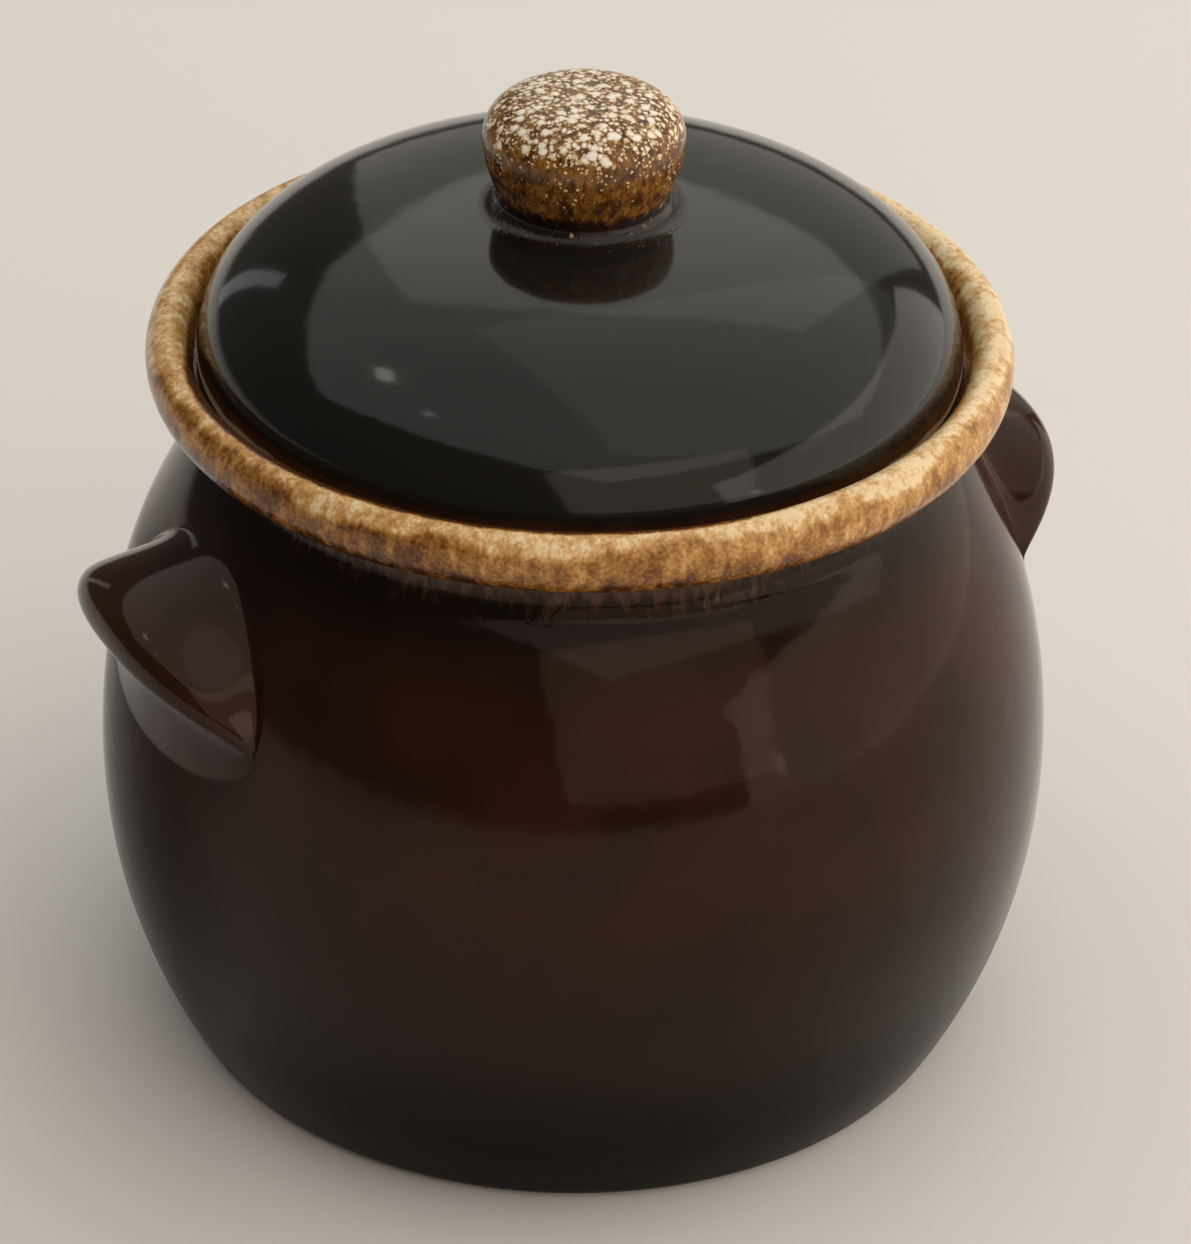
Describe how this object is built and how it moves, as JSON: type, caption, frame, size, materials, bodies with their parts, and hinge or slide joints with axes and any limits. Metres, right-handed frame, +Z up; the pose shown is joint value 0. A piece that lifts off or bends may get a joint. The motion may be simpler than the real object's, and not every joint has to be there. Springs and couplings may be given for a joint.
{
  "type": "bean pot",
  "caption": "Bulbous glazed stoneware bean pot with a necked-in throat, a rolled lip, lug handles on the shoulder and a low domed lid with a flared knob that lifts off.",
  "frame": {"origin": "centre of the foot, on the surface that the pot stands on", "axes": "+Z up the pot's axis, +X through the right lug, -Y towards the front"},
  "size_m": [0.1948, 0.182, 0.1918],
  "materials": {
    "pot_glaze": "glossy dark brown glaze with a mottled tan rim",
    "lid_glaze": "glossy near-black brown glaze",
    "knob_glaze": "glossy amber-brown glaze with cream froth on top"
  },
  "bodies": {
    "pot": {"pot_body": "pot_glaze", "lug_left": "pot_glaze", "lug_right": "pot_glaze"},
    "lid": {"lid": "lid_glaze", "lid_knob": "knob_glaze"}
  },
  "joints": [
    {"name": "lid_lift", "type": "slide", "parent": "pot", "child": "lid", "axis": [0, 0, 1], "range_m": [0, 0.1]}
  ]
}
